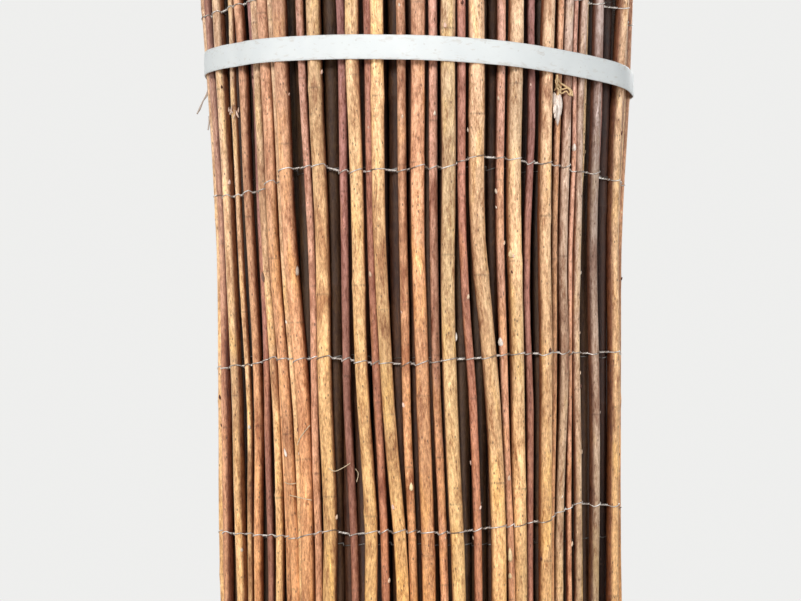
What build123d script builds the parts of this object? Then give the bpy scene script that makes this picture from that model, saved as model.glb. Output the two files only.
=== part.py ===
from build123d import *
from dataclasses import dataclass
from math import atan2, cos, degrees, hypot, radians, sin, sqrt, tan, tau
from random import Random
import os

# A roll of willow screening that stands on its lower end.
# +Z is up, the origin is the middle of the foot, and the side that shows faces -Y. Millimetres.
# The screen is one mat of willow rods side by side, rolled up anticlockwise round an open bore.
# Rows of thin wire bind the rods, and two flat straps hold the roll.

# Driving dimensions of the roll. Above its knee the outside of the roll flares out.
SCREEN_HEIGHT = 1000.0
BORE_DIAMETER = 118.0
INNER_TURNS = 5
FREE_EDGE_ANGLE = 70.0
TAPER = 0.083
FLARE = 0.117
KNEE_HEIGHT = SCREEN_HEIGHT - 285.0

# Rods
INNER_ROD_THIN = 5.5
INNER_ROD_THICK = 9.0
INNER_ROD_GAP = 0.3
OUTER_ROD_THIN = 3.0
OUTER_ROD_THICK = 7.0
OUTER_ROD_GAP = 5.0
OUTER_ROD_LEAN = 3.0
ROD_SEAT = 0.1
WIRE_ROOM = 1.8
END_UNEVENNESS = 12.0
FOOT_UNEVENNESS = 5.0
INNER_SIDES = 6
OUTER_SIDES = 8

# The bent rods at the front, from left to right: the thickness of each, then how many degrees it
# stands to the right of the front line at the low, the middle and the high bend.
FRONT_LINE_ANGLE = -90.0
BEND_HEIGHTS = (KNEE_HEIGHT - 165.0, KNEE_HEIGHT - 90.0, KNEE_HEIGHT)
FRONT_RODS = [
    (5.6, -66.0, -64.0, -70.5),
    (2.9, -60.5, -59.2, -62.2),
    (4.7, -56.2, -54.6, -58.3),
    (3.6, -51.2, -50.8, -53.6),
    (4.2, -47.1, -47.8, -50.6),
    (2.8, -42.5, -44.7, -48.3),
    (5.7, -38.4, -41.0, -45.8),
    (2.8, -35.9, -37.6, -42.6),
    (6.6, -33.2, -33.7, -38.8),
    (3.6, -29.4, -30.7, -32.2),
    (6.6, -26.0, -27.4, -28.2),
    (3.7, -19.3, -20.7, -20.7),
    (5.7, -14.1, -16.3, -16.9),
    (3.6, -10.2, -12.2, -13.6),
    (5.9, -5.8, -8.8, -10.8),
    (4.0, -2.5, -4.2, -4.9),
    (5.9, 1.9, 0.6, -0.6),
    (3.9, 6.1, 4.2, 3.6),
    (6.3, 9.9, 7.7, 7.8),
    (3.7, 15.0, 13.6, 11.3),
    (6.9, 20.9, 19.7, 14.9),
    (3.9, 24.9, 23.9, 22.0),
    (6.5, 28.2, 27.8, 26.1),
    (3.4, 32.4, 32.2, 31.7),
    (6.0, 36.0, 36.7, 36.6),
    (3.3, 39.6, 41.0, 41.4),
    (4.8, 42.6, 45.1, 45.2),
    (2.7, 47.0, 48.0, 47.9),
    (3.8, 50.3, 50.4, 50.3),
    (2.6, 53.8, 53.1, 53.0),
    (5.0, 58.3, 57.8, 56.4),
    (2.8, 62.7, 62.9, 62.0),
    (5.7, 68.0, 70.0, 70.4),
]

# Binding wires, evenly spaced up the roll
WIRE_ROWS = 10
END_WIRE_MARGIN = 50.0
WIRE_THICKNESS = 1.4
WIRE_SEAT = 0.3
WIRE_END_GAP = 14.0
BAND_FLATS = 24

# Straps
STRAP_WIDTH = 13.0
STRAP_THICKNESS = 0.8
STRAP_SEAT = 0.3
UPPER_STRAP_HEIGHT = SCREEN_HEIGHT - 187.0
UPPER_STRAP_TILT = 3.0
LOWER_STRAP_HEIGHT = 190.0
LOWER_STRAP_TILT = -0.8

SEED = 11

# The heights at which a rod is kept clear of the others, and how far round the roll it can meet them
CLEAR_STEP = 15.0
BENT_STEPS = int((BEND_HEIGHTS[-1] - BEND_HEIGHTS[0]) / CLEAR_STEP)
CLEAR_HEIGHTS = [0.0, *(BEND_HEIGHTS[0] + CLEAR_STEP * n for n in range(BENT_STEPS + 1)), SCREEN_HEIGHT]
NEAR_ANGLE = 25.0


@dataclass
class Rod:
    """A willow rod. Its angle and distance from the roll's axis are those at its foot. It bends
    sideways at some heights, and it spreads out with height. One of its corners faces its seat."""

    angle: float
    distance: float
    half: float
    bends: tuple = ((0.0, 0.0),)
    facing: float = 0.0
    loose: float = 0.0
    foot: float = 0.0
    top: float = SCREEN_HEIGHT

    def direction(self, z):
        """The direction from the roll's axis to the rod at height z, as a unit vector."""
        low, turned = self.bends[0]
        for high, turned_high in self.bends[1:]:
            share = min(1.0, max(0.0, (z - low) / (high - low)))
            turned += share * (turned_high - turned)
            low = high
        return cos(self.angle + turned), sin(self.angle + turned)

    def place(self, z):
        """The rod's middle at height z, before the roll spreads out."""
        ux, uy = self.direction(z)
        return self.distance * ux, self.distance * uy

    def centre(self, z):
        """The rod's middle at height z."""
        x, y = self.place(z)
        return x * spread(z, self.loose), y * spread(z, self.loose)


def spread(z, loose):
    """How wide the roll is at height z, as a share of its width at the foot."""
    above_knee = max(0.0, z - KNEE_HEIGHT) / (SCREEN_HEIGHT - KNEE_HEIGHT)
    return 1 + TAPER * z / SCREEN_HEIGHT + loose * FLARE * above_knee


def nearby(rod, others):
    """The others that stand on the same side of the roll as a rod."""
    return [other for other in others if cos(other.angle - rod.angle) > cos(radians(NEAR_ANGLE))]


def clear_distance(rod, others, gap):
    """The least distance from the axis at which a rod clears the others that lie inside it."""
    needed = BORE_DIAMETER / 2 + rod.half
    for z in CLEAR_HEIGHTS:
        ux, uy = rod.direction(z)
        for other in others:
            ox, oy = other.place(z)
            across = ux * oy - uy * ox
            reach = rod.half + other.half + gap
            if abs(across) < reach:
                needed = max(needed, ux * ox + uy * oy + sqrt(reach**2 - across**2))
    return needed


def space_between(rod, other):
    """The narrowest space between two rods that stand side by side."""
    spaces = []
    for z in CLEAR_HEIGHTS:
        (x, y), (other_x, other_y) = rod.place(z), other.place(z)
        spaces.append(hypot(other_x - x, other_y - y) - rod.half - other.half)
    return min(spaces)


def lay_beside(rods, half, beside, beneath, lean=0.0):
    """The rod after the last one, beside it in the mat and resting on the turn inside it."""
    before = rods[-1]
    tip = lean / before.distance / 2
    step = before.half + half + beside
    rod = Rod(before.angle + step / before.distance, before.distance, half)
    rod.bends = ((0.0, -tip), (SCREEN_HEIGHT, tip))
    inside = nearby(rod, rods[:-1])
    for _ in range(12):
        rod.distance = clear_distance(rod, inside, beneath)
        rod.angle += 0.8 * (beside - space_between(rod, before)) / rod.distance
    return rod


def lay_outer(rods, chance):
    """A rod of the outer turn, with a thickness, a lean and a gap of its own."""
    half = chance.uniform(OUTER_ROD_THIN, OUTER_ROD_THICK) / 2
    lean = chance.uniform(-OUTER_ROD_LEAN, OUTER_ROD_LEAN)
    beside = ROD_SEAT + chance.uniform(0, OUTER_ROD_GAP)
    return lay_beside(rods, half, beside, ROD_SEAT, lean)


def lay_at(rods, half, degrees_right):
    """A bent rod at its own places round the front of the roll."""
    angles = [radians(FRONT_LINE_ANGLE + right) for right in degrees_right]
    bends = tuple((z, angle - angles[0]) for z, angle in zip(BEND_HEIGHTS, angles))
    rod = Rod(angles[0], rods[-1].distance, half, bends)
    rod.distance = clear_distance(rod, nearby(rod, rods), ROD_SEAT)
    return rod


def seat_direction(rod, others):
    """The direction from a rod to the rod that it lies closest to."""
    x, y = rod.place(0)
    spaces = []
    for other in others:
        other_x, other_y = other.place(0)
        space = hypot(other_x - x, other_y - y) - other.half
        spaces.append((space, atan2(other_y - y, other_x - x)))
    return min(spaces)[1]


def roll_up():
    """All the rods of the mat, from the one at the bore to the one at the free edge."""
    chance = Random(SEED)
    end = radians(FREE_EDGE_ANGLE)
    half = INNER_ROD_THICK / 2
    rods = [Rod(end - (INNER_TURNS + 1) * tau, BORE_DIAMETER / 2 + half, half)]
    while rods[-1].angle < end - tau:
        half = chance.uniform(INNER_ROD_THIN, INNER_ROD_THICK) / 2
        rods.append(lay_beside(rods, half, INNER_ROD_GAP, WIRE_ROOM))

    thickness, *places = FRONT_RODS[0]
    first_front = lay_at(rods, thickness / 2, places)
    rod = lay_outer(rods, chance)
    while rod.angle < first_front.angle and space_between(rod, first_front) > ROD_SEAT:
        rods.append(rod)
        rod = lay_outer(rods, chance)

    for thickness, *places in FRONT_RODS:
        rods.append(lay_at(rods, thickness / 2, places))

    while rods[-1].angle < end:
        rods.append(lay_outer(rods, chance))

    for number, rod in enumerate(rods[1:], start=1):
        rod.top -= max(0.0, chance.uniform(-END_UNEVENNESS / 3, END_UNEVENNESS))
        rod.foot = max(0.0, chance.uniform(-FOOT_UNEVENNESS, FOOT_UNEVENNESS))
        rod.facing = seat_direction(rod, rods[:number])
    return rods


def turn_of(rod):
    """The turn that a rod lies in, counted from 1 at the bore."""
    turns_left = (radians(FREE_EDGE_ANGLE) - rod.angle) / tau
    return INNER_TURNS + 1 - max(0, min(INNER_TURNS, int(turns_left)))


def rod_solid(rod, sides):
    """One rod as a slim tapering solid with flat sides."""
    bends = [z for z, _ in rod.bends if rod.foot < z < rod.top]
    if rod.loose:
        bends.append(KNEE_HEIGHT)
    heights = [rod.foot, *sorted({z for z in bends if z < SCREEN_HEIGHT}), rod.top]
    with BuildPart() as solid:
        for z in heights:
            with BuildSketch(Plane.XY.offset(z)):
                with Locations(rod.centre(z)):
                    half = rod.half * spread(z, rod.loose)
                    RegularPolygon(half, sides, rotation=degrees(rod.facing))
        loft(ruled=True)
    return solid.part


def taut_corners(rods, height, tilt, seat):
    """The corners of a band pulled tight round the rods, in its own tilted plane. Each of its
    flats just clears the rod that stands out furthest there."""
    slope = tan(radians(tilt))
    circles = []
    for rod in rods:
        x, _ = rod.centre(height)
        z = height - x * slope
        x, y = rod.centre(z)
        circles.append((x / cos(radians(tilt)), y, rod.half * spread(z, rod.loose) + seat))
    turn = tau / BAND_FLATS
    faces = []
    for flat in range(BAND_FLATS + 1):
        ux, uy = cos(flat * turn), sin(flat * turn)
        faces.append(max(x * ux + y * uy + reach for x, y, reach in circles))
    corners = []
    for flat in range(BAND_FLATS):
        here, after = faces[flat], faces[flat + 1]
        along = (after - here * cos(turn)) / sin(turn)
        ux, uy = cos(flat * turn), sin(flat * turn)
        corners.append((here * ux - along * uy, here * uy + along * ux))
    return corners


def band(rods, height, tilt, width, thickness, seat, end_gap=0.0):
    """A flat band or wire round the rods. With an end gap it stops short at the mat's free edge."""
    rise, run = sin(radians(tilt)), cos(radians(tilt))
    level = Plane((0, 0, height), x_dir=(run, 0, -rise), z_dir=(rise, 0, run))
    corners = taut_corners(rods, height + width / 2, tilt, seat)
    with BuildPart() as loop:
        with BuildSketch(level):
            with BuildLine():
                Polyline(*corners, close=True)
            make_face()
            offset(amount=thickness, kind=Kind.INTERSECTION)
            with BuildLine():
                Polyline(*corners, close=True)
            make_face(mode=Mode.SUBTRACT)
            if end_gap:
                edge = radians(FREE_EDGE_ANGLE) + end_gap / BORE_DIAMETER
                with Locations((BORE_DIAMETER * cos(edge), BORE_DIAMETER * sin(edge))):
                    Rectangle(BORE_DIAMETER / 2, end_gap, rotation=degrees(edge), mode=Mode.SUBTRACT)
        extrude(amount=width / 2, both=True)
    return loop.part


def save(part, name):
    """Names a finished piece and writes it."""
    part.label = name
    export_step(part, f"parts/{name}.step")


os.makedirs("parts", exist_ok=True)

mat = roll_up()
turns = {}
for rod in mat:
    turn = turn_of(rod)
    rod.loose = max(0.0, 1 - (INNER_TURNS + 1 - turn) / 2)
    turns.setdefault(turn, []).append(rod)
outer_turn = turns[INNER_TURNS + 1]

for turn, rods in turns.items():
    sides = OUTER_SIDES if rods is outer_turn else INNER_SIDES
    solids = [rod_solid(rod, sides) for rod in rods]
    with BuildPart() as rods_of_turn:
        add(solids)
    save(rods_of_turn.part, f"rods_turn_{turn}")
    print(f"turn {turn}: {len(rods)} rods as {len(rods_of_turn.part.solids())} solids")

wire_spacing = (SCREEN_HEIGHT - 2 * END_WIRE_MARGIN) / (WIRE_ROWS - 1)
for row in range(WIRE_ROWS):
    height = END_WIRE_MARGIN + row * wire_spacing
    wire = band(outer_turn, height, 0, WIRE_THICKNESS, WIRE_THICKNESS, WIRE_SEAT, WIRE_END_GAP)
    save(wire, f"binding_wire_{row + 1}")

upper_strap = band(
    outer_turn, UPPER_STRAP_HEIGHT, UPPER_STRAP_TILT, STRAP_WIDTH, STRAP_THICKNESS, STRAP_SEAT
)
save(upper_strap, "upper_strap")
lower_strap = band(
    outer_turn, LOWER_STRAP_HEIGHT, LOWER_STRAP_TILT, STRAP_WIDTH, STRAP_THICKNESS, STRAP_SEAT
)
save(lower_strap, "lower_strap")

mat_length = sum(2 * rod.half + INNER_ROD_GAP for rod in mat)
print(f"{len(mat)} rods, a mat about {mat_length:.0f} mm long")
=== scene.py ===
from dataclasses import dataclass, field
from math import atan, atan2, cos, exp, hypot, pi, radians, sin, sqrt, tan, tau
from random import Random

import bpy
from mathutils import Matrix, Vector


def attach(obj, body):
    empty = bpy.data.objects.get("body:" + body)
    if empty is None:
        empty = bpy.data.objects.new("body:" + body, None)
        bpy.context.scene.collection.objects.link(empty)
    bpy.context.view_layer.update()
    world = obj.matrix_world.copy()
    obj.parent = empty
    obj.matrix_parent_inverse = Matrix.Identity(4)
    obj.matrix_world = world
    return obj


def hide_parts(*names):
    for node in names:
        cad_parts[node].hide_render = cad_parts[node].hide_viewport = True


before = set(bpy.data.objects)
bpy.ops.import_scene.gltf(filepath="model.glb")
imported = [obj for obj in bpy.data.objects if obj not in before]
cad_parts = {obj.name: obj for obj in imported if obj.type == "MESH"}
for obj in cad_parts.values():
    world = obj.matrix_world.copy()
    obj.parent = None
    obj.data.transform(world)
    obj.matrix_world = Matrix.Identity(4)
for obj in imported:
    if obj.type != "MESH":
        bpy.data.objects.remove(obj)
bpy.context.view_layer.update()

# Willow screening roll. Lengths are in metres and angles in degrees where nothing else is said,
# in the frame of the model: +Z up, front towards -Y.

# The photograph's frame in pixels, and the camera in it
PHOTO_WIDTH = 801
PHOTO_HEIGHT = 601
FOCAL_PIXELS = 2430.0
EYE_LEVEL_ROW = 370.0
AXIS_COLUMN = 420.5
EYE_HEIGHT = 0.643
CAMERA_DISTANCE = 1.405
CAMERA_ROLL = -0.452
SENSOR_WIDTH = 36.0
NEAR_AND_FAR = (0.05, 50)

# Finding where a point of the photograph lies on the roll: a first guess in metres, rounds,
# the least cosine between a point and a rod that may carry it, and radians to look aside
FIRST_REACH = 0.1
REACH_ROUNDS = 3
NEARBY = 0.9
LOOK_ASIDE = 0.02

# Floor, lamps and surround. Each lamp has its name, place, size, power in watts and colour
FLOOR_RADIUS = 2.3
FLOOR_SIDES = 96
FLOOR_COLOUR = (0.72, 0.71, 0.69)
FLOOR_ROUGHNESS = 0.9
LAMP_AIM = (0, 0, 0.6)
LAMPS = [
    ("key_lamp", (-0.9, -3.1, 1.9), 0.8, 78, (1.0, 0.98, 0.97)),
    ("right_lamp", (2.4, -1.6, 1.2), 1.6, 35, (0.96, 0.98, 1.0)),
    ("left_lamp", (-2.5, -1.0, 1.2), 1.6, 23, (0.96, 0.98, 1.0)),
    ("back_lamp", (0.6, 2.6, 1.8), 1.6, 40, (1.0, 1.0, 1.0)),
]
SKY_COLOUR = (0.93, 0.96, 1.0)
SKY_STRENGTH = 0.10
SURROUND_COLOUR = (0.86, 0.86, 0.85)
SURROUND_STRENGTH = 1.0

# Random draws start from these numbers, so every run is the same
ROD_SEED = 1000
BUD_SEED = 21
WIRE_SEED = 5

# Rods: turns are counted from the bore, and a sway is a wave's length and its size
TURNS = 6
OUTER_TURN = TURNS
FREE_EDGE = 70.0
FRONT_STATIONS = 5
EASE = 0.03
PLUMP = 0.13
PLUMP_TOP = 0.95
PLUMP_FADE = 0.1
SWAYS = ((0.42, 0.0006), (0.15, 0.00045))
SWAY_LENGTHS = (0.8, 1.25)
SWAY_SIZES = (0.4, 1)
INNER_CROOKED = 0.5
OVAL = 0.06
LUMPS = 0.025
END_LOOPS = (0.96, 0.3)
TONE_DRIFT = (0.02, 0.10)
TONE_BEAT = (0.12, 0.4)
TONE_PHASE = 50
PLACE_SPREAD = 9

# Knots, and how closely the rings of points lie at them
KNOT_SPACING = (0.05, 0.14)
KNOT_FROM_END = 0.02
KNOT_SWELL = 0.11
KNOT_REACH = 0.004
KNOT_KINK = 0.0009
KNOT_CLEAR = 0.007
KNOT_RINGS = (-0.005, -0.0009, 0.0, 0.0009, 0.005)
KNOT_LINE = 0.0005

# Rings of points: sides and spacing, for each turn from the bore outwards
ROD_DETAIL = {1: (8, 0.08), 2: (8, 0.08), 3: (8, 0.08), 4: (8, 0.08), 5: (10, 0.035), 6: (12, 0.022)}

# Binding wires: seat and twist width are shares of the wire's radius, a share of the drift is kept
# from rod to rod, and beyond UNMEASURED degrees from the front a row lies level
WIRE_RADIUS = 0.00034
WIRE_HEIGHTS = [0.05 + 0.1 * row for row in range(10)]
WIRE_DRIFT = 0.0007
DRIFT_KEPT = 0.7
WIRE_SLANTS = (0.3, 2.0)
WIRE_RISE = 0.0008
WIRE_SEAT = 1.1
FRONT_BENDS = (-64, -32, 0, 32, 64)
BACK_BENDS = (-55, 0, 55)
TWIST_PITCH = 0.0024
TWIST_STEPS = 6
TWIST_WIDTH = 1.05
TWIST_PROUD = 0.05
LEAST_GAP = 0.0010
UNMEASURED = 130
# The inner turn's wires are darkened to this share: painted shade for the gaps between the outer rods
INNER_WIRE_SHADE = 0.35
WIRE_SIDES = {5: 4, 6: 5}

# Straps: height at the axis and tilt, then the band itself. Its lap is counted in steps before and
# after the back, its bevels are on its inner and outer face, and its ripple has a height and a beat
UPPER_STRAP = (0.813, 3.0)
LOWER_STRAP = (0.190, -0.8)
STRAP_WIDTH = 0.0132
STRAP_THICKNESS = 0.0008
STRAP_STEPS = 360
STRAP_EASE = 4
STRAP_SINK = 0.0004
STRAP_LAP = (12, 10)
STRAP_BEVELS = (0.0004, 0.0006)
STRAP_RIPPLE = (0.0004, 23)

# Buds at knots: which knots of the outer turn show one, how often it is dark, and how its colour
# follows the bark. Then the sizes of buds, husks, leaf and fibres. A bud's width is a share of its length
HIDDEN_SIDE = -0.2
FACING_PHOTO = 0.2
IN_PHOTO = (0.5, 0.86)
FRONT_BUDS_LEFT_OUT = 0.75
DARK_BUD_SHARE = 4
LIKE_BARK = 0.7
BUD_WIDTH = 0.55
BUD_SIZES = (0.0015, 0.0034)
BUD_SINK = 0.0002
BUD_LIFT = 0.0005
KNOT_BUD_SIZES = (0.002, 0.0034)
POD_DEPTH = 0.35
POD_BELLY = 0.75
POD_FULLNESS = 0.8
POD_SCATTER = (31, 17)
HUSK_LIFTS = (0.0004, 0.0006)
HUSK_DETAIL = (10, 8)
THIN_HUSK = 0.0015
LEAF_LIFT = 0.0007
LEAF_RADIUS = 0.0007
LEAF_THINNING = 0.00007
FIBRE_LIFT = 0.0003
FIBRE_RADIUS = 0.00026
WISP_RADIUS = 0.00045
FIBRE_SIDES = 5

# Bark colours, as they look in daylight: red, green and blue from 0 to 1
BARKS = {
    "tan": (0.91, 0.745, 0.56),
    "yellow": (0.89, 0.72, 0.51),
    "orange": (0.87, 0.655, 0.485),
    "pink": (0.85, 0.64, 0.52),
    "red": (0.76, 0.53, 0.43),
    "purple": (0.65, 0.45, 0.39),
    "grey": (0.80, 0.68, 0.57),
    "olive": (0.86, 0.72, 0.53),
    "straw": (0.925, 0.77, 0.58),
    "ash": (0.70, 0.605, 0.53),
}
BARK_SHARES = {
    "tan": 7, "yellow": 4, "orange": 5, "pink": 4, "red": 4, "purple": 3, "grey": 3, "olive": 2,
    "straw": 3, "ash": 1,
}
BARK_LIGHTNESS = (0.88, 1.06)

# Colours of buds, leaf, husks and fibres
PALE_BUDS = ((0.95, 0.90, 0.82), (0.88, 0.77, 0.66), (0.93, 0.80, 0.72))
DARK_BUD = (0.33, 0.17, 0.11)
LARGE_BUDS = {
    "white": (0.97, 0.93, 0.88),
    "straw": (0.95, 0.86, 0.67),
    "ashen": (0.74, 0.68, 0.62),
    "brown": (0.47, 0.35, 0.29),
}
LEAF_STRAW = (0.88, 0.76, 0.57)
PALE_HUSK = (0.97, 0.92, 0.87)
DULL_HUSK = (0.84, 0.74, 0.67)
FIBRE_STRAW = (0.84, 0.77, 0.64)
WISP_GREY = (0.74, 0.70, 0.66)

# Inner rods get painted shade, growing from nothing at SHADE_START to full at SHADE_FULL away from their
# ends
INNER_SHADE = (0.33, 0.27, 0.21)
SHADE_START = 0.02
SHADE_FULL = 0.10

# Bark is cooler above TINT_MIDDLE and warmer below it
TINT_MIDDLE = 0.68
TINT_REACH = 0.15
TINT_ABOVE = (0.0, 0.028, 0.11)

# The bent rods at the front, from left to right
FRONT_BARKS = [
    "tan", "tan", "orange", "purple", "tan", "orange", "orange", "tan", "orange", "pink", "yellow",
    "purple", "yellow", "red", "yellow", "orange", "orange", "pink", "olive", "red", "tan", "pink",
    "straw", "purple", "tan", "orange", "grey", "pink", "grey", "olive", "ash", "purple", "tan",
]

# What was read in the photograph, as columns and rows of its frame. Wires have their row's number,
# large buds their length, width and kind, and husks their foot, tip and width
WIRES_IN_PHOTO = {
    9: [(208, 19), (215, 13), (240, 1), (607, 6), (625, 10), (634, 23)],
    8: [
        (216, 203), (220, 195), (236, 197), (249, 192), (260, 189), (264, 181), (279, 180), (287, 168),
        (304, 165), (328, 164), (333, 170), (363, 172), (387, 167), (398, 171), (423, 166), (441, 170),
        (457, 164), (467, 159), (489, 157), (519, 161), (532, 164), (550, 164), (570, 167), (574, 171),
        (602, 172), (604, 177), (622, 183),
    ],
    7: [
        (218, 367), (252, 364), (263, 360), (310, 360), (318, 356), (338, 359), (366, 364), (410, 364),
        (426, 363), (457, 358), (476, 359), (492, 357), (521, 354), (561, 353), (584, 354), (620, 353),
    ],
    6: [
        (221, 536), (227, 532), (249, 534), (263, 537), (291, 538), (315, 536), (334, 531), (351, 536),
        (391, 531), (437, 533), (470, 530), (504, 526), (536, 522), (555, 516), (573, 509), (582, 503),
        (591, 504), (613, 506), (620, 503),
    ],
}
PALE_BUDS_IN_PHOTO = [
    (368, 127), (403, 116), (298, 270), (369, 274), (320, 72), (291, 94),
    (398, 4), (231, 306), (286, 322), (248, 427), (400, 405), (397, 312), (335, 517), (242, 550),
    (394, 507), (300, 454), (497, 98), (530, 84), (469, 130), (435, 113), (576, 147), (504, 243),
    (582, 273), (599, 264), (491, 191), (493, 207), (489, 370),
    (469, 463), (481, 503), (447, 538), (470, 538), (564, 497), (588, 452), (580, 333), (584, 373),
    (575, 544), (611, 360), (412, 486), (509, 478), (509, 552), (514, 256),
]
DARK_BUDS_IN_PHOTO = [(259, 280), (289, 180), (288, 206), (301, 430), (449, 240), (513, 272), (320, 330)]
LARGE_BUDS_IN_PHOTO = [
    (459, 337, 0.0058, 0.0030, "white"), (499, 342, 0.0052, 0.0032, "white"),
    (298, 271, 0.0058, 0.0024, "ashen"), (258, 277, 0.0062, 0.0032, "brown"),
    (512, 254, 0.0050, 0.0030, "straw"), (510, 555, 0.0086, 0.0026, "straw"),
    (510, 576, 0.0036, 0.0020, "straw"), (412, 487, 0.0050, 0.0022, "straw"),
    (575, 147, 0.0046, 0.0024, "white"),
]
FIBRES_IN_PHOTO = [
    [(286, 482), (291, 484), (298, 483)],
    [(291, 495), (302, 497), (314, 500)],
    [(332, 468), (337, 471), (344, 467), (350, 463)],
    [(355, 469), (357, 474), (356, 482)],
    [(301, 445), (305, 436), (312, 425)],
]
WISPS_IN_PHOTO = [
    [(210, 82), (208, 90), (205, 97), (201, 105), (197, 114)],
    [(211, 85), (208, 94), (203, 101), (200, 109), (198, 112)],
    [(209, 116), (209, 123), (208, 130)],
]
LEAF_IN_PHOTO = [
    [(555, 75), (556, 79), (556, 83), (559, 86), (561, 90), (560, 95)],
    [(557, 74), (559, 78), (557, 82), (560, 84), (563, 88), (562, 93)],
    [(559, 76), (561, 80), (563, 83), (566, 85), (569, 88), (572, 91), (573, 96)],
    [(561, 86), (565, 89), (568, 88), (571, 92), (570, 95)],
    [(560, 90), (564, 93), (567, 91), (570, 95), (573, 94)],
    [(555, 78), (553, 82), (555, 86), (558, 90)],
]
HUSKS_IN_PHOTO = [
    ((558, 91), (558, 111), 0.0036), ((561, 92), (563, 116), 0.0040), ((560, 97), (560, 126), 0.0044),
    ((556, 103), (551, 114), 0.0024), ((556, 108), (552, 119), 0.0018), ((563, 98), (563, 108), 0.0020),
    ((230, 112), (229, 107), 0.0012), ((232, 114), (233, 106), 0.0014), ((237, 118), (235, 110), 0.0013),
    ((231, 115), (229, 110), 0.0010), ((236, 113), (237, 107), 0.0011), ((234, 113), (231, 110), 0.0010),
    ((234, 119), (235, 114), 0.0009), ((288, 457), (286, 448), 0.0016),
]


def as_light(colour):
    """A colour as it looks, turned into the linear values that a shader takes."""
    return tuple(c / 12.92 if c <= 0.04045 else ((c + 0.055) / 1.055) ** 2.4 for c in colour)


# Camera, floor and light

def make_camera():
    """The camera at the photograph's angle and framing: level height, tipped up a little."""
    data = bpy.data.cameras.new("camera")
    data.sensor_width = SENSOR_WIDTH
    data.lens = FOCAL_PIXELS * SENSOR_WIDTH / PHOTO_WIDTH
    data.clip_start, data.clip_end = NEAR_AND_FAR
    camera = bpy.data.objects.new("camera", data)
    bpy.context.scene.collection.objects.link(camera)
    tip = atan((EYE_LEVEL_ROW - PHOTO_HEIGHT / 2) / FOCAL_PIXELS)
    turn = atan((AXIS_COLUMN - PHOTO_WIDTH / 2) / FOCAL_PIXELS)
    turned = Matrix.Rotation(turn, 3, "Z") @ Matrix.Rotation(pi / 2 + tip, 3, "X")
    turned = turned @ Matrix.Rotation(radians(CAMERA_ROLL), 3, "Z")
    camera.location = (0, -CAMERA_DISTANCE, EYE_HEIGHT)
    camera.rotation_euler = turned.to_euler()
    bpy.context.scene.camera = camera
    return turned


def on_roll(column, row):
    """Where a point of the photograph lies on the outside of the roll."""
    across = (column - PHOTO_WIDTH / 2) / FOCAL_PIXELS
    up = (PHOTO_HEIGHT / 2 - row) / FOCAL_PIXELS
    ray = camera_turn @ Vector((across, up, -1))
    eye = Vector((0, -CAMERA_DISTANCE, EYE_HEIGHT))
    level = ray.x**2 + ray.y**2
    middle = -(eye.x * ray.x + eye.y * ray.y) / level
    reach = FIRST_REACH
    for _ in range(REACH_ROUNDS):
        point = eye + ray * reach
        outside = roll_radius(point.z)
        miss = (eye.x + ray.x * middle) ** 2 + (eye.y + ray.y * middle) ** 2
        reach = middle - sqrt(max(0.0, outside**2 - miss) / level)
    return eye + ray * reach


def roll_radius(z):
    """How far the outside of the roll stands from its axis at height z, over the front rods."""
    total = 0.0
    for rod in front_rods:
        x, y, _, radius = rod.straight(z)
        total += hypot(x, y) + radius
    return total / len(front_rods)


def outermost(point):
    """The point above the bark of the outer rods on the line from the axis through a point."""
    turned = atan2(point.y, point.x)
    far = 0.0
    for rod in turns[OUTER_TURN]:
        if cos(rod.angle() - turned) < NEARBY:
            continue
        x, y = rod.middle(point.z)
        radius = rod.radius(point.z)
        for look in (turned - LOOK_ASIDE, turned, turned + LOOK_ASIDE):
            aside = y * cos(look) - x * sin(look)
            if abs(aside) < radius:
                far = max(far, x * cos(look) + y * sin(look) + sqrt(radius**2 - aside**2))
    return Vector((far * cos(turned), far * sin(turned), point.z))


def area_light(name, place, size, power, colour):
    """A square soft lamp at a place, turned to the roll."""
    data = bpy.data.lights.new(name, "AREA")
    data.size = size
    data.energy = power
    data.color = colour
    lamp = bpy.data.objects.new(name, data)
    lamp.location = place
    lamp.rotation_euler = (Vector(LAMP_AIM) - Vector(place)).to_track_quat("-Z", "Y").to_euler()
    bpy.context.scene.collection.objects.link(lamp)


def make_light():
    """Soft daylight from the front left, and a pale surround that only camera and gloss see bright."""
    for name, place, size, power, colour in LAMPS:
        area_light(name, place, size, power, colour)
    world = bpy.data.worlds.new("studio")
    bpy.context.scene.world = world
    world.use_nodes = True
    tree = world.node_tree
    tree.nodes.clear()
    out = tree.nodes.new("ShaderNodeOutputWorld")
    mix = tree.nodes.new("ShaderNodeMixShader")
    lights = []
    for colour, strength in ((SKY_COLOUR, SKY_STRENGTH), (SURROUND_COLOUR, SURROUND_STRENGTH)):
        light = tree.nodes.new("ShaderNodeBackground")
        light.inputs["Color"].default_value = (*colour, 1)
        light.inputs["Strength"].default_value = strength
        lights.append(light.outputs[0])
    path = tree.nodes.new("ShaderNodeLightPath").outputs
    seen = link_math(tree, "MAXIMUM", path["Is Camera Ray"], path["Is Glossy Ray"])
    seen = link_math(tree, "MAXIMUM", seen, path["Is Transmission Ray"])
    tree.links.new(seen, mix.inputs[0])
    tree.links.new(lights[0], mix.inputs[1])
    tree.links.new(lights[1], mix.inputs[2])
    tree.links.new(mix.outputs[0], out.inputs["Surface"])


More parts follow.
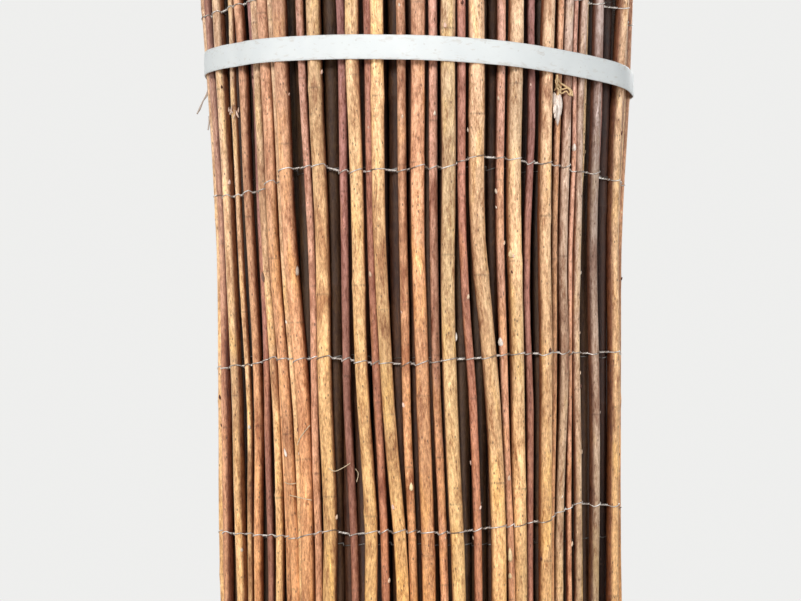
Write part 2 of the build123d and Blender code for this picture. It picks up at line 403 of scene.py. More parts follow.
def make_floor():
    """A plain pale round floor under the roll."""
    mesh = bpy.data.meshes.new("floor")
    rim = []
    for n in range(FLOOR_SIDES):
        turned = tau * n / FLOOR_SIDES
        rim.append((FLOOR_RADIUS * cos(turned), FLOOR_RADIUS * sin(turned), 0))
    mesh.from_pydata(rim, [], [tuple(range(FLOOR_SIDES))])
    floor = bpy.data.objects.new("floor", mesh)
    bpy.context.scene.collection.objects.link(floor)
    material, _, shader = new_material("pale_floor", FLOOR_ROUGHNESS)
    shader.inputs["Base Color"].default_value = (*FLOOR_COLOUR, 1)
    mesh.materials.append(material)


# Shared shader effects

def new_group(name, inputs, outputs):
    """An empty shader node group with named sockets, and its two ends."""
    group = bpy.data.node_groups.new(name, "ShaderNodeTree")
    for label, kind, value in inputs:
        socket = group.interface.new_socket(label, in_out="INPUT", socket_type=kind)
        if value is not None:
            socket.default_value = value
    for label, kind in outputs:
        group.interface.new_socket(label, in_out="OUTPUT", socket_type=kind)
    return group, group.nodes.new("NodeGroupInput"), group.nodes.new("NodeGroupOutput")


def link_math(tree, operation, first, second, clamp=False):
    """A maths node in a tree, fed by sockets or numbers."""
    node = tree.nodes.new("ShaderNodeMath")
    node.operation = operation
    node.use_clamp = clamp
    for slot, value in enumerate((first, second)):
        if isinstance(value, (int, float)):
            node.inputs[slot].default_value = value
        else:
            tree.links.new(value, node.inputs[slot])
    return node.outputs[0]


def link_ramp(tree, value, low, high):
    """A value stretched so that low becomes 0 and high becomes 1."""
    node = tree.nodes.new("ShaderNodeMapRange")
    node.inputs["From Min"].default_value = low
    node.inputs["From Max"].default_value = high
    tree.links.new(value, node.inputs["Value"])
    return node.outputs["Result"]


def link_noise(tree, place, scale, detail, roughness, distortion=0.0):
    """A noise value over a place."""
    node = tree.nodes.new("ShaderNodeTexNoise")
    node.inputs["Scale"].default_value = scale
    node.inputs["Detail"].default_value = detail
    node.inputs["Roughness"].default_value = roughness
    node.inputs["Distortion"].default_value = distortion
    tree.links.new(place, node.inputs["Vector"])
    return node.outputs["Fac"]


def link_long_noise(tree, place, across, along, detail, roughness, distortion=0.0):
    """A noise value drawn out along a rod or strap, in waves to the metre across and along it."""
    node = tree.nodes.new("ShaderNodeMapping")
    node.inputs["Scale"].default_value = (across, across, along)
    tree.links.new(place, node.inputs["Vector"])
    return link_noise(tree, node.outputs["Vector"], 1.0, detail, roughness, distortion)


def link_part(tree, value, share, start=0.0):
    """A share of a value, on top of a start."""
    part = link_math(tree, "MULTIPLY", value, share)
    return link_math(tree, "ADD", part, start) if start else part


def link_mix(tree, share, first, second, blend="MIX"):
    """A colour between two colours. Colours may be sockets or tuples."""
    node = tree.nodes.new("ShaderNodeMix")
    node.data_type = "RGBA"
    node.blend_type = blend
    if isinstance(share, (int, float)):
        node.inputs["Factor"].default_value = share
    else:
        tree.links.new(share, node.inputs["Factor"])
    for socket, value in ((node.inputs[6], first), (node.inputs[7], second)):
        if isinstance(value, tuple):
            socket.default_value = (*value, 1)
        else:
            tree.links.new(value, socket)
    return node.outputs[2]


def link_tint(tree, colour, tint):
    """A colour multiplied by a tint."""
    return link_mix(tree, 1.0, colour, tint, "MULTIPLY")


def make_fibre_group():
    """Lengthwise fibres: fine streaks along the grain, in colour and in relief."""
    group, start, end = new_group(
        "lengthwise_fibres",
        [
            ("Place", "NodeSocketVector", None),
            ("Colour", "NodeSocketColor", None),
            ("Strength", "NodeSocketFloat", 0.5),
        ],
        [("Colour", "NodeSocketColor"), ("Height", "NodeSocketFloat")],
    )
    place, plain = start.outputs["Place"], start.outputs["Colour"]
    fine = link_long_noise(group, place, 1150, 330, detail=4.0, roughness=0.7)
    broad = link_long_noise(group, place, 340, 62, detail=4.0, roughness=0.62, distortion=0.6)
    both = link_math(group, "ADD", link_part(group, fine, 0.55), link_part(group, broad, 0.45))
    share = link_ramp(group, both, 0.38, 0.61)
    dark = link_tint(group, plain, (0.48, 0.32, 0.23))
    pale = link_tint(group, plain, (1.42, 1.46, 1.50))
    streaked = link_mix(group, share, dark, pale)
    colour = link_mix(group, start.outputs["Strength"], plain, streaked)
    group.links.new(colour, end.inputs["Colour"])
    group.links.new(both, end.inputs["Height"])
    return group


def make_speckle_group():
    """Speckle: small scattered marks over a surface, such as pores, dirt or dust."""
    group, start, end = new_group(
        "scattered_speckle",
        [
            ("Place", "NodeSocketVector", None),
            ("Across", "NodeSocketFloat", 500.0),
            ("Along", "NodeSocketFloat", 200.0),
            ("Amount", "NodeSocketFloat", 0.5),
        ],
        [("Mask", "NodeSocketFloat")],
    )
    size = group.nodes.new("ShaderNodeCombineXYZ")
    group.links.new(start.outputs["Across"], size.inputs[0])
    group.links.new(start.outputs["Across"], size.inputs[1])
    group.links.new(start.outputs["Along"], size.inputs[2])
    scaled = group.nodes.new("ShaderNodeVectorMath")
    scaled.operation = "MULTIPLY"
    group.links.new(start.outputs["Place"], scaled.inputs[0])
    group.links.new(size.outputs[0], scaled.inputs[1])
    cells = group.nodes.new("ShaderNodeTexVoronoi")
    cells.feature = "F1"
    cells.inputs["Scale"].default_value = 1.0
    group.links.new(scaled.outputs[0], cells.inputs["Vector"])
    picked = group.nodes.new("ShaderNodeSeparateColor")
    group.links.new(cells.outputs["Color"], picked.inputs[0])
    rare = link_math(group, "LESS_THAN", picked.outputs[0], start.outputs["Amount"])
    near = link_ramp(group, cells.outputs["Distance"], 0.34, 0.16)
    group.links.new(link_math(group, "MULTIPLY", near, rare, clamp=True), end.inputs["Mask"])
    return group


def add_group(tree, group, **values):
    """A group placed in a material, with its own values: sockets or plain values."""
    node = tree.nodes.new("ShaderNodeGroup")
    node.node_tree = group
    for label, value in values.items():
        socket = node.inputs[label]
        if hasattr(value, "is_linked"):
            tree.links.new(value, socket)
        else:
            socket.default_value = value
    return node


def attribute(tree, name, output):
    """A value stored on the mesh."""
    node = tree.nodes.new("ShaderNodeAttribute")
    node.attribute_name = name
    return node.outputs[output]


def new_material(name, roughness=0.5):
    """A material with its shader, ready for colours and relief."""
    material = bpy.data.materials.new(name)
    material.use_nodes = True
    shader = material.node_tree.nodes["Principled BSDF"]
    shader.inputs["Roughness"].default_value = roughness
    return material, material.node_tree, shader


def link_bump(tree, shader, height, strength, distance):
    """Fine relief from a height value."""
    bump = tree.nodes.new("ShaderNodeBump")
    bump.inputs["Strength"].default_value = strength
    bump.inputs["Distance"].default_value = distance
    tree.links.new(height, bump.inputs["Height"])
    tree.links.new(bump.outputs["Normal"], shader.inputs["Normal"])


# Materials

def link_bark(tree, place, bark):
    """The bark's colour and relief: painted shade on the rods' sides, weather, fibres, pores, scuffs and
    knot rings.
    """
    # Painted shade: the bark turns deep red-brown where a rod's side turns away from the roll's outside,
    # standing in for the shade between the rods
    opened = link_ramp(tree, attribute(tree, "open_side", "Fac"), 0.0, 0.6)
    side_shaded_bark = link_mix(tree, opened, link_tint(tree, bark, (0.27, 0.145, 0.10)), bark)
    weather = link_long_noise(tree, place, 90, 22, detail=4.0, roughness=0.6, distortion=0.6)
    golden = link_tint(tree, side_shaded_bark, (1.14, 1.14, 0.92))
    dusky = link_tint(tree, side_shaded_bark, (0.56, 0.43, 0.38))
    warmed = link_mix(tree, link_ramp(tree, weather, 0.52, 0.68), side_shaded_bark, golden)
    aged = link_mix(tree, link_ramp(tree, weather, 0.45, 0.32), warmed, dusky)
    fibres = add_group(tree, fibre_group, Place=place, Colour=aged, Strength=1.0).outputs
    pores = add_group(tree, speckle_group, Place=place, Across=700.0, Along=340.0, Amount=0.14).outputs
    pored = link_part(tree, pores["Mask"], 0.8)
    dotted = link_mix(tree, pored, fibres["Colour"], (0.10, 0.045, 0.025))
    scuff = link_long_noise(tree, place, 640, 85, detail=5.0, roughness=0.75, distortion=0.8)
    scuffed = link_part(tree, link_ramp(tree, scuff, 0.60, 0.67), 0.8)
    worn = link_mix(tree, scuffed, dotted, link_tint(tree, dotted, (1.7, 1.8, 1.9)))
    uneven = link_ramp(tree, fibres["Height"], 0.62, 0.44)
    ring = link_math(tree, "MULTIPLY", attribute(tree, "ring", "Fac"), uneven)
    ringed = link_mix(tree, link_part(tree, ring, 0.5), worn, (0.09, 0.04, 0.025))
    return ringed, fibres["Height"]


def link_cut_end(tree, place, from_pith):
    """The cut end of a rod: wood that is browned in places, round a dark pith."""
    grain = link_noise(tree, place, 1500.0, detail=3.0, roughness=0.6)
    wood = link_mix(tree, link_ramp(tree, grain, 0.35, 0.65), (0.50, 0.33, 0.18), (0.84, 0.65, 0.42))
    patches = link_noise(tree, place, 60.0, detail=2.0, roughness=0.5)
    browned = link_tint(tree, wood, (0.66, 0.56, 0.48))
    mixed = link_mix(tree, link_ramp(tree, patches, 0.42, 0.62), wood, browned)
    channels = tree.nodes.new("ShaderNodeSeparateColor")
    tree.links.new(from_pith, channels.inputs[0])
    beyond = link_ramp(tree, channels.outputs[0], 0.05, 0.2)
    return link_mix(tree, beyond, (0.16, 0.09, 0.05), mixed)


def make_bark():
    """Dry willow bark, satin and streaked along the rod, and the rods' cut ends."""
    material, tree, shader = new_material("willow_bark_dry")
    place = attribute(tree, "place", "Vector")
    bark = attribute(tree, "bark", "Color")
    rind, height = link_bark(tree, place, bark)
    cut_end = link_cut_end(tree, place, bark)
    colour = link_mix(tree, attribute(tree, "cut", "Fac"), rind, cut_end)
    tree.links.new(colour, shader.inputs["Base Color"])
    tree.links.new(link_part(tree, height, 0.3, 0.36), shader.inputs["Roughness"])
    shader.inputs["Specular IOR Level"].default_value = 0.35
    link_bump(tree, shader, height, 1.0, 0.0007)
    return material


def make_wire_metal():
    """Dull galvanised wire with white bloom, a little tarnish, and painted shade on the inner wires."""
    material, tree, shader = new_material("galvanised_wire_dull", 0.42)
    place = attribute(tree, "place", "Vector")
    cloudy = link_noise(tree, place, 95.0, detail=4.0, roughness=0.62)
    dull = link_mix(tree, link_ramp(tree, cloudy, 0.42, 0.58), (0.20, 0.14, 0.10), (0.86, 0.82, 0.77))
    # The bark value darkens the inner turn's wires: painted shade
    painted_shade_wire = link_tint(tree, dull, attribute(tree, "bark", "Color"))
    tree.links.new(painted_shade_wire, shader.inputs["Base Color"])
    shader.inputs["Metallic"].default_value = 0.65
    tree.links.new(link_part(tree, cloudy, 0.3, 0.3), shader.inputs["Roughness"])
    link_bump(tree, shader, cloudy, 0.3, 0.0001)
    return material


def make_strap_plastic():
    """White strapping plastic: fine ribs along it, faint smears and dust."""
    material, tree, shader = new_material("white_strap_plastic", 0.38)
    place = attribute(tree, "place", "Vector")
    ribs = link_long_noise(tree, place, 30, 1500, detail=4.0, roughness=0.6)
    cloudy = link_ramp(tree, link_noise(tree, place, 60.0, detail=3.0, roughness=0.5), 0.3, 0.7)
    white = link_mix(tree, cloudy, (0.70, 0.735, 0.735), (0.755, 0.785, 0.775))
    smear = link_long_noise(tree, place, 150, 420, detail=4.0, roughness=0.65, distortion=0.5)
    edge = link_part(tree, attribute(tree, "ring", "Fac"), 0.12)
    smeared = link_ramp(tree, link_math(tree, "ADD", smear, edge), 0.62, 0.74)
    grimy = link_mix(tree, link_part(tree, smeared, 0.32), white, (0.46, 0.38, 0.29))
    dust = add_group(tree, speckle_group, Place=place, Across=520.0, Along=520.0, Amount=0.06).outputs
    dusty = link_mix(tree, link_part(tree, dust["Mask"], 0.3), grimy, (0.42, 0.38, 0.32))
    tree.links.new(dusty, shader.inputs["Base Color"])
    tree.links.new(link_part(tree, ribs, 0.2, 0.45), shader.inputs["Roughness"])
    link_bump(tree, shader, ribs, 0.25, 0.0001)
    return material


def make_bud_skin():
    """The papery skin of buds, leaf, husks and fibres, each in its own colour."""
    material, tree, shader = new_material("papery_bud_skin", 0.6)
    place = attribute(tree, "place", "Vector")
    bark = attribute(tree, "bark", "Color")
    fibres = add_group(tree, fibre_group, Place=place, Colour=bark, Strength=0.6).outputs
    tree.links.new(fibres["Colour"], shader.inputs["Base Color"])
    link_bump(tree, shader, fibres["Height"], 0.4, 0.0002)
    return material


# Reading the rods of the frame

@dataclass
class Rod:
    """A rod's middle line, as (x, y, z, radius) stations from its foot to its top."""

    stations: list
    turn: int
    chance: Random
    sway: list = field(default_factory=list)
    knots: list = field(default_factory=list)
    bark: tuple = BARKS["tan"]
    plump: float = 0.0

    def straight(self, z):
        """The CAD rod's middle and radius at height z."""
        z = min(max(z, self.stations[0][2]), self.stations[-1][2])
        for low, high in zip(self.stations, self.stations[1:]):
            if z <= high[2]:
                share = (z - low[2]) / (high[2] - low[2])
                return [a + (b - a) * share for a, b in zip(low, high)]

    def kink(self, z):
        """How far the rod's knots carry it out of line at height z."""
        ends = [Knot(0, 0, 0, 0, 0), *self.knots, Knot(self.stations[-1][2], 0, 0, 0, 0)]
        for low, high in zip(ends, ends[1:]):
            if z <= high.z:
                share = 0.5 - 0.5 * cos(pi * (z - low.z) / max(high.z - low.z, 1e-6))
                return low.dx + (high.dx - low.dx) * share, low.dy + (high.dy - low.dy) * share
        return 0.0, 0.0

    def middle(self, z):
        """The grown rod's middle at height z: the CAD line with its corners eased, its sway and kinks."""
        here, below, above = self.straight(z), self.straight(z - EASE), self.straight(z + EASE)
        x = (below[0] + 2 * here[0] + above[0]) / 4
        y = (below[1] + 2 * here[1] + above[1]) / 4
        for length, phase, dx, dy in self.sway:
            wave = sin(tau * z / length + phase)
            x += dx * wave
            y += dy * wave
        dx, dy = self.kink(z)
        return x + dx, y + dy

    def radius(self, z):
        """The grown rod's radius at height z: fuller below the flare, and thicker at its knots."""
        swell = sum(knot.swell * exp(-(((z - knot.z) / KNOT_REACH) ** 2)) for knot in self.knots)
        fuller = self.plump * min(1.0, max(0.0, (PLUMP_TOP - z) / PLUMP_FADE))
        return self.straight(z)[3] * (1 + swell + fuller)

    def surface(self, z, turned, out):
        """A point on the rod's bark at height z, and the way out of the rod there."""
        x, y = self.middle(z)
        away = Vector((cos(turned), sin(turned), 0))
        return Vector((x, y, z)) + away * (self.radius(z) + out), away

    def tone(self, z):
        """The bark colour at height z: warmer downwards, and inner rods darkened by painted shade away
        from their ends.
        """
        high = min(1.0, max(-1.0, (z - TINT_MIDDLE) / TINT_REACH))
        bark = tuple(c * (1 + tint * high) for c, tint in zip(self.bark, TINT_ABOVE))
        if self.turn == OUTER_TURN:
            return bark
        from_end = min(z - self.stations[0][2], self.stations[-1][2] - z)
        deep = min(1.0, max(0.0, (from_end - SHADE_START) / (SHADE_FULL - SHADE_START)))
        return tuple(c * (1 + (shade - 1) * deep) for c, shade in zip(bark, INNER_SHADE))

    def angle(self):
        """Where the rod stands round the roll."""
        return atan2(self.stations[0][1], self.stations[0][0])


@dataclass
class Knot:
    """A joint of a rod: where it is, how much it swells, the side of its bud and its kink."""

    z: float
    swell: float
    side: float
    dx: float
    dy: float


def rod_islands(mesh):
    """The corner points of each separate solid of a node."""
    place_of, parent = {}, []

    def root(n):
        while parent[n] != n:
            parent[n] = parent[parent[n]]
            n = parent[n]
        return n

    numbers = []
    for vertex in mesh.vertices:
        key = tuple(round(c, 6) for c in vertex.co)
        if key not in place_of:
            place_of[key] = len(parent)
            parent.append(len(parent))
        numbers.append(place_of[key])
    for face in mesh.polygons:
        first = root(numbers[face.vertices[0]])
        for corner in face.vertices[1:]:
            parent[root(numbers[corner])] = first
    islands = {}
    for key, number in place_of.items():
        islands.setdefault(root(number), []).append(key)
    return list(islands.values())


def read_rods(turn):
    """The rods of one turn of the roll, as they stand in the frame, in order round the roll."""
    rods = []
    for points in rod_islands(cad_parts[f"rods_turn_{turn}"].data):
        levels = {}
        for x, y, z in points:
            levels.setdefault(round(z, 5), []).append((x, y))
        stations = []
        for z, ring in sorted(levels.items()):
            x = sum(p[0] for p in ring) / len(ring)
            y = sum(p[1] for p in ring) / len(ring)
            stations.append((x, y, z, max(hypot(p[0] - x, p[1] - y) for p in ring)))
        rods.append(Rod(stations, turn, None))
    rods.sort(key=lambda rod: (rod.angle() - radians(FREE_EDGE)) % tau)
    for number, rod in enumerate(rods):
        rod.chance = Random(ROD_SEED * turn + number)
    return rods


def grow(rod, crooked):
    """Gives a rod its own sway, knots and bark colour."""
    chance = rod.chance
    for length, size in SWAYS:
        turned = chance.uniform(0, tau)
        size *= crooked * chance.uniform(*SWAY_SIZES)
        length *= chance.uniform(*SWAY_LENGTHS)
        rod.sway.append((length, chance.uniform(0, tau), size * cos(turned), size * sin(turned)))
    kink = crooked * KNOT_KINK
    z = rod.stations[0][2] + chance.uniform(KNOT_FROM_END, KNOT_SPACING[1])
    while z < rod.stations[-1][2] - KNOT_FROM_END:
        swell, side = chance.uniform(0.0, KNOT_SWELL), chance.uniform(0, tau)
        dx, dy = chance.uniform(-kink, kink), chance.uniform(-kink, kink)
        rod.knots.append(Knot(z, swell, side, dx, dy))
        z += chance.uniform(*KNOT_SPACING)
    name = chance.choices(list(BARK_SHARES), list(BARK_SHARES.values()))[0]
    shade = chance.uniform(*BARK_LIGHTNESS)
    rod.bark = tuple(min(1, c * shade) for c in BARKS[name])


# Mesh making

class Skin:
    """Points and faces of one piece as they are added, with the values that its material reads.

    A ring is 1 on the line round a knot, and grows towards the two edges of a strap.
    The facing value is 1 where a rod faces out of the roll; the bark gets painted shade where it is low.
    """

    def __init__(self):
        self.points, self.faces = [], []
        self.bark, self.place, self.cut, self.ring, self.open = [], [], [], [], []

    def point(self, place, local, bark=(1, 1, 1), cut=0.0, ring=0.0, opened=1.0):
        """Adds a point and gives its number."""
        self.points.append(tuple(place))
        self.place.append(tuple(local))
        self.bark.append((*bark, 1.0))
        self.cut.append(cut)
        self.ring.append(ring)
        self.open.append(opened)
        return len(self.points) - 1

    def join(self, ring, after):
        """Faces between two closed rings of points."""
        count = len(ring)
        for n in range(count):
            m = (n + 1) % count
            self.faces.append((ring[n], ring[m], after[m], after[n]))

    def make(self, name, material, replaced=()):
        """The finished piece: it rides on the body, and it may stand for CAD nodes."""
        mesh = bpy.data.meshes.new(name)
        mesh.from_pydata(self.points, [], self.faces)
        for label, kind, key, values in (
            ("place", "FLOAT_VECTOR", "vector", [c for v in self.place for c in v]),
            ("bark", "FLOAT_COLOR", "color", [c for v in self.bark for c in v]),
            ("cut", "FLOAT", "value", self.cut),
            ("ring", "FLOAT", "value", self.ring),
            ("open_side", "FLOAT", "value", self.open),
        ):
            stored = mesh.attributes.new(label, kind, "POINT")
            stored.data.foreach_set(key, values)
        mesh.materials.append(material)
        mesh.shade_smooth()
        piece = bpy.data.objects.new(name, mesh)
        bpy.context.scene.collection.objects.link(piece)
        if replaced:
            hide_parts(*replaced)
        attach(piece, "root")


def rod_heights(rod, step):
    """The heights at which a rod gets a ring of points: evenly, and more closely at its knots."""
    low, high = rod.stations[0][2], rod.stations[-1][2]
    count = max(4, round((high - low) / step))
    heights = [low + (high - low) * n / count for n in range(count + 1)]
    for knot in rod.knots:
        heights = [z for z in heights if abs(z - knot.z) > KNOT_CLEAR or z in (low, high)]
        heights += [knot.z + rise for rise in KNOT_RINGS]
    return sorted(z for z in heights if low <= z <= high)


def add_rod(skin, rod, sides, step):
    """The rod's bark all round, and a cut face at each end."""
    chance = rod.chance
    oval, oval_turn = chance.uniform(0, OVAL), chance.uniform(0, tau)
    drift, beat = chance.uniform(*TONE_DRIFT), chance.uniform(*TONE_BEAT)
    offset = Vector([chance.uniform(-PLACE_SPREAD, PLACE_SPREAD) for _ in range(3)])
    outward = rod.angle()
    rings = []
    for z in rod_heights(rod, step):
        middle = Vector((*rod.middle(z), z))
        radius = rod.radius(z)
        tone = 1 + drift * sin(tau * z / beat + TONE_PHASE * drift)
        # For inner rods the tone holds painted shade away from their ends
        bark = as_light(tuple(min(1, c * tone) for c in rod.tone(z)))
        knotted = float(any(abs(z - knot.z) < KNOT_LINE for knot in rod.knots))
        ring = []
        for side in range(sides):
            turned = tau * side / sides
            lump = chance.uniform(-LUMPS, LUMPS)
            out = radius * (1 + oval * cos(2 * (turned - oval_turn)) + lump)
            across = Vector((out * cos(turned), out * sin(turned), 0))
            local = offset + across + Vector((0, 0, z))
            # The last value is how far this side faces out of the roll; the bark gets painted shade where
            # it is low
            ring.append(skin.point(middle + across, local, bark, 0.0, knotted, cos(turned - outward)))
        if rings:
            skin.join(rings[-1], ring)
        rings.append(ring)
    close_end(skin, rod, rings[0], rod.stations[0][2], offset, False)
    close_end(skin, rod, rings[-1], rod.stations[-1][2], offset, True)


def close_end(skin, rod, ring, z, offset, up):
    """The cut face at one end of a rod, from its bark to its pith."""
    middle = Vector((*rod.middle(z), z))
    loops = [ring]
    for share in END_LOOPS:
        loop = []
        for number in ring:
            across = (Vector(skin.points[number]) - middle) * share
            loop.append(skin.point(middle + across, offset + across, (share, share, share), 1.0))
        loops.append(loop)
    pith = skin.point(middle, offset, (0, 0, 0), 1.0)
    for outside, inside in zip(loops, loops[1:]):
        if up:
            skin.join(outside, inside)
        else:
            skin.join(inside, outside)
    inner = loops[-1]
    for n, here in enumerate(inner):
        after = inner[(n + 1) % len(inner)]
        skin.faces.append((here, after, pith) if up else (after, here, pith))


def sweep(skin, path, radius, sides, colour=(1, 1, 1)):
    """A round wire or fibre along a path, with closed ends."""
    points = [Vector(p) for p in path]
    across = None
    rings = []
    length = 0.0
    for n, here in enumerate(points):
        ahead = (points[min(n + 1, len(points) - 1)] - points[max(n - 1, 0)]).normalized()
        if across is None:
            across = ahead.orthogonal().normalized()
        across = (across - ahead * across.dot(ahead)).normalized()
        other = ahead.cross(across)
        if n:
            length += (here - points[n - 1]).length
        ring = []
        for side in range(sides):
            turned = tau * side / sides
            away = radius * (cos(turned) * across + sin(turned) * other)
            local = (radius * cos(turned), radius * sin(turned), length)
            ring.append(skin.point(here + away, local, colour))
        if rings:
            skin.join(rings[-1], ring)
        rings.append(ring)
    skin.faces.append(tuple(reversed(rings[0])))
    skin.faces.append(tuple(rings[-1]))


def add_pod(skin, foot, tip, width, away, colour, sides=8, levels=6):
    """A bud or pod: a pointed oval from its foot to its tip, flattened where it lies against a rod."""
    foot, tip = Vector(foot), Vector(tip)
    along = tip - foot
    across = along.cross(away).normalized()
    local = Vector((foot.x * POD_SCATTER[0] % 1, foot.y * POD_SCATTER[1] % 1, foot.z))
    rings = []
    for level in range(1, levels):
        share = level / levels
        swell = sin(pi * share**POD_BELLY) ** POD_FULLNESS
        centre = foot + along * share
        ring = []
        for side in range(sides):
            turned = tau * side / sides
            sideways = across * (cos(turned) * width / 2 * swell)
            move = sideways + away * (sin(turned) * width * POD_DEPTH * swell)
            ring.append(skin.point(centre + move, local + move + along * share, colour))
        if rings:
            skin.join(rings[-1], ring)
        rings.append(ring)
    low, high = skin.point(foot, local, colour), skin.point(tip, local + along, colour)
    for n in range(sides):
        m = (n + 1) % sides
        skin.faces.append((rings[0][m], rings[0][n], low))
        skin.faces.append((rings[-1][n], rings[-1][m], high))


# Buds

def add_bud(skin, rod, z, turned, size, width, colour):
    """A bud pressed to a rod, with its tip upwards and a little outwards."""
    foot, away = rod.surface(z, turned, -BUD_SINK)
    tip, _ = rod.surface(z + size, turned, BUD_LIFT)
    add_pod(skin, foot, tip, width, away, colour)


def nearest_rod(point):
    """The front rod that a measured point lies closest to, and the side of it that the point is on."""
    def miss(rod):
        x, y = rod.middle(point.z)
        return hypot(point.x - x, point.y - y) - rod.radius(point.z)
    rod = min(turns[OUTER_TURN], key=miss)
    x, y = rod.middle(point.z)
    return rod, atan2(point.y - y, point.x - x)


def add_marked_bud(skin, column, row, size, width, colour):
    """A bud on the rod that lies nearest to a point of the photograph."""
    point = on_roll(column, row)
    rod, turned = nearest_rod(point)
    add_bud(skin, rod, point.z - size / 2, turned, size, width, colour)


def make_buds():
    """The buds that can be seen in the photograph, and others like them all round the outer turn."""
    chance = Random(BUD_SEED)
    pale = [as_light(colour) for colour in PALE_BUDS]
    dark = [as_light(DARK_BUD)]
    skin = Skin()
    for marks, colours in ((PALE_BUDS_IN_PHOTO, pale), (DARK_BUDS_IN_PHOTO, dark)):
        for column, row in marks:
            size = chance.uniform(*BUD_SIZES)
            add_marked_bud(skin, column, row, size, size * BUD_WIDTH, chance.choice(colours))
    for rod in turns[OUTER_TURN]:
        out = rod.angle()
        for knot in rod.knots:
            if cos(knot.side - out) < HIDDEN_SIDE:
                continue
            in_front = cos(out + pi / 2) > FACING_PHOTO and IN_PHOTO[0] < knot.z < IN_PHOTO[1]
            if in_front and chance.random() < FRONT_BUDS_LEFT_OUT:
                continue
            like_bark = as_light(tuple(LIKE_BARK * c for c in rod.bark))
            shade = chance.choice((*pale, *dark * DARK_BUD_SHARE, like_bark))
            size = chance.uniform(*KNOT_BUD_SIZES)
            add_bud(skin, rod, knot.z, knot.side, size, size * BUD_WIDTH, shade)
    for column, row, size, width, kind in LARGE_BUDS_IN_PHOTO:
        add_marked_bud(skin, column, row, size, width, as_light(LARGE_BUDS[kind]))
    skin.make("buds", bud_skin)


# Binding wires

def wire_levels():
    """For each row of wire, how far it strays from level: angles round the roll, and metres up."""
    levels = {}
    for row, marks in WIRES_IN_PHOTO.items():
        strays = [(radians(-UNMEASURED), 0.0)]
        for column, line in marks:
            point = on_roll(column, line)
            strays.append((atan2(point.x, -point.y), point.z - WIRE_HEIGHTS[row - 1]))
        strays.append((radians(UNMEASURED), 0.0))
        levels[row] = sorted(strays)
    return levels


def stray_at(strays, angle):
    """How far a row of wire strays at an angle from the front line."""
    for low, high in zip(strays, strays[1:]):
        if low[0] <= angle <= high[0]:
            share = (angle - low[0]) / max(high[0] - low[0], 1e-9)
            return low[1] + (high[1] - low[1]) * share
    return 0.0


def wire_places(rods, height, strays, chance):
    """Where a row of wire meets each rod: the rod's middle and radius there, and the wire's slant."""
    places = []
    drift = 0.0
    for rod in rods:
        drift = DRIFT_KEPT * drift + chance.uniform(-WIRE_DRIFT, WIRE_DRIFT)
        x, y = rod.middle(height)
        z = height + drift + stray_at(strays, atan2(x, -y))
        x, y = rod.middle(z)
        places.append((Vector((x, y, z)), rod.radius(z), chance.uniform(*WIRE_SLANTS)))
    return places


def twist(front, back, start, step_over, out, twists):
    """Adds the two strands wound round each other between two rods."""
    steps = TWIST_STEPS * twists
    for step in range(1, steps):
        share = step / steps
        wind = tau * twists * share
        ring = WIRE_RADIUS * TWIST_WIDTH * (cos(wind) * out + sin(wind) * Vector((0, 0, 1)))
        centre = start + step_over * share
        front.append(centre + ring)
        back.append(centre - ring)


def wire_paths(rods, height, strays, chance):
    """The two strands of one row: one passes before each rod and one behind, twisted in the gaps."""
    front, back = [], []
    places = wire_places(rods, height, strays, chance)
    for n, (middle, radius, slant) in enumerate(places):
        out = Vector((middle.x, middle.y, 0)).normalized()
        along = Vector((-out.y, out.x, 0))
        reach = radius + WIRE_RADIUS * WIRE_SEAT
        for a in (radians(turned) for turned in FRONT_BENDS):
            rise = Vector((0, 0, slant * WIRE_RISE * sin(a)))
            front.append(middle + reach * (cos(a) * out + sin(a) * along) + rise)
        for a in (radians(turned) for turned in BACK_BENDS):
            back.append(middle + reach * (-cos(a) * out + sin(a) * along))
        if n + 1 == len(places):
            break
        after, after_radius, _ = places[n + 1]
        across = after - middle
        gap = across.length - radius - after_radius
        if gap < LEAST_GAP:
            continue
        across.normalize()
        start = middle + across * radius + out * radius * TWIST_PROUD
        twist(front, back, start, across * gap, out, max(1, round(gap / TWIST_PITCH)))
    return front, back


def make_wires():
    """Every row of twisted binding wire, over the two turns of the roll that can be seen."""
    chance = Random(WIRE_SEED)
    levels = wire_levels()
    level = [(-pi, 0.0), (pi, 0.0)]
    for row, height in enumerate(WIRE_HEIGHTS, start=1):
        skin = Skin()
        for turn, sides in WIRE_SIDES.items():
            outer = turn == OUTER_TURN
            strays = levels.get(row, level) if outer else level
            # The inner turn's wires get painted shade through their colour
            shade = 1.0 if outer else INNER_WIRE_SHADE
            for strand in wire_paths(turns[turn], height, strays, chance):
                sweep(skin, strand, WIRE_RADIUS, sides, (shade, shade, shade))
        skin.make(f"twisted_wire_{row}", wire_metal, [f"binding_wire_{row}"])


# Straps

def taut_loop(rods, height, tilt):
    """Points of a strap pulled tight round the rods over its whole width, with the way out at each."""
    count = STRAP_STEPS
    circles = []
    for rod in rods:
        x, _ = rod.middle(height)
        middle = height - x * tan(radians(tilt))
        for share in (-0.5, -0.25, 0.0, 0.25, 0.5):
            z = middle + share * STRAP_WIDTH
            x, y = rod.middle(z)
            circles.append((x, y, rod.radius(z) - STRAP_SINK))
    tight = []
    for n in range(count):
        ux, uy = cos(tau * n / count), sin(tau * n / count)
        tight.append(max(x * ux + y * uy + reach for x, y, reach in circles))
    window = range(-STRAP_EASE, STRAP_EASE + 1)
    over = [max(tight[(n + step) % count] for step in window) for n in range(count)]
    eased = [sum(over[(n + step) % count] for step in window) / len(window) for n in range(count)]
    corners = [(r * cos(tau * n / count), r * sin(tau * n / count)) for n, r in enumerate(eased)]
    loop = []
    for n, (x, y) in enumerate(corners):
        (x0, y0), (x1, y1) = corners[n - 1], corners[(n + 1) % count]
        length = hypot(x1 - x0, y1 - y0)
        loop.append((x, y, (y1 - y0) / length, (x0 - x1) / length))
    return loop


